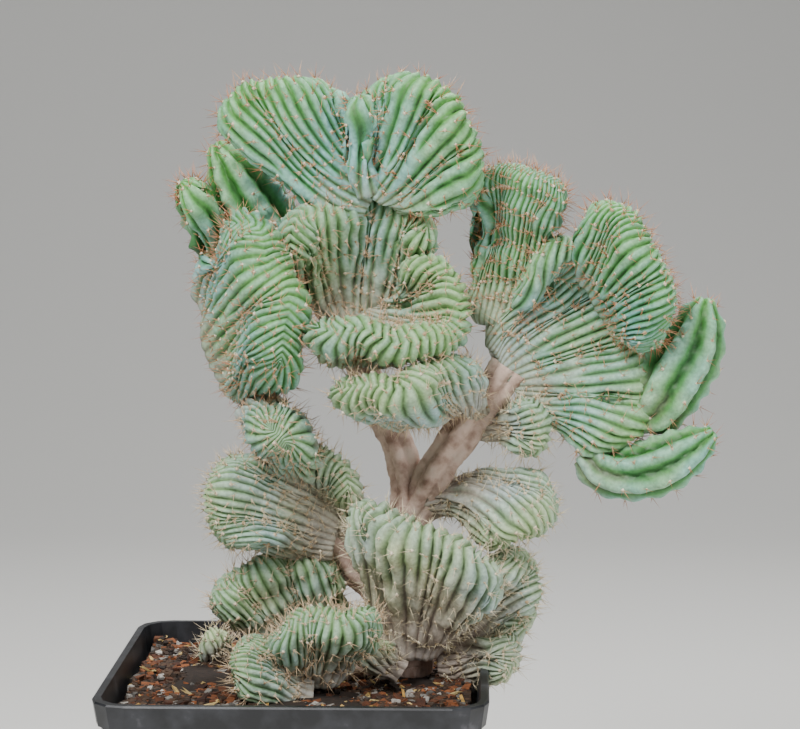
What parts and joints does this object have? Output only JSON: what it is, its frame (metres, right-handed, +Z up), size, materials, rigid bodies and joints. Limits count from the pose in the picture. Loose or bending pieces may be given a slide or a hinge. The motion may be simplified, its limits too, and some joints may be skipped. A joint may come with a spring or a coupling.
{
  "type": "potted crested cactus",
  "caption": "Crested columnar cactus on a forked woody trunk, its stems widened into wavy ribbed fans, in a square nursery pot of potting mix",
  "frame": {"origin": "middle of the pot's underside, on the surface it stands on", "axes": "+Z up, +X to the right and +Y to the back as the picture looks at it"},
  "size_m": [0.2105, 0.13, 0.3283],
  "materials": {
    "pot_plastic": "black moulded plastic with a soft sheen and pale scuffs",
    "potting_mix": "dark crumbly bark and grit",
    "cork_bark": "dry pinkish grey corky bark",
    "young_flesh": "waxy bright green skin with a bluish bloom",
    "grey_flesh": "waxy grey green skin",
    "old_flesh": "dusty grey skin turning to cork"
  },
  "bodies": {
    "root": {"pot": "pot_plastic", "soil": "potting_mix", "trunk": "cork_bark", "crest_top_right": "young_flesh", "crest_top_left": "young_flesh", "crest_top_middle": "young_flesh", "crest_upper_middle": "grey_flesh", "crest_middle_right": "grey_flesh", "crest_middle_low": "grey_flesh", "crest_right": "grey_flesh", "crest_right_upper": "young_flesh", "crest_right_roll": "young_flesh", "crest_right_inner": "old_flesh", "crest_right_low": "old_flesh", "crest_front": "old_flesh", "crest_front_right": "old_flesh", "crest_low_right": "old_flesh", "column_left": "young_flesh", "column_left_low": "grey_flesh", "crest_left": "grey_flesh", "crest_left_back": "old_flesh", "crest_low_left_back": "grey_flesh", "crest_low_left_side": "grey_flesh", "crest_low_left_front": "grey_flesh", "crest_soil_front": "old_flesh", "crest_soil_left": "old_flesh", "crest_far_left": "young_flesh", "shoot_right_upper": "young_flesh", "shoot_right_lower": "young_flesh", "shoot_upper_left": "young_flesh"}
  },
  "joints": []
}
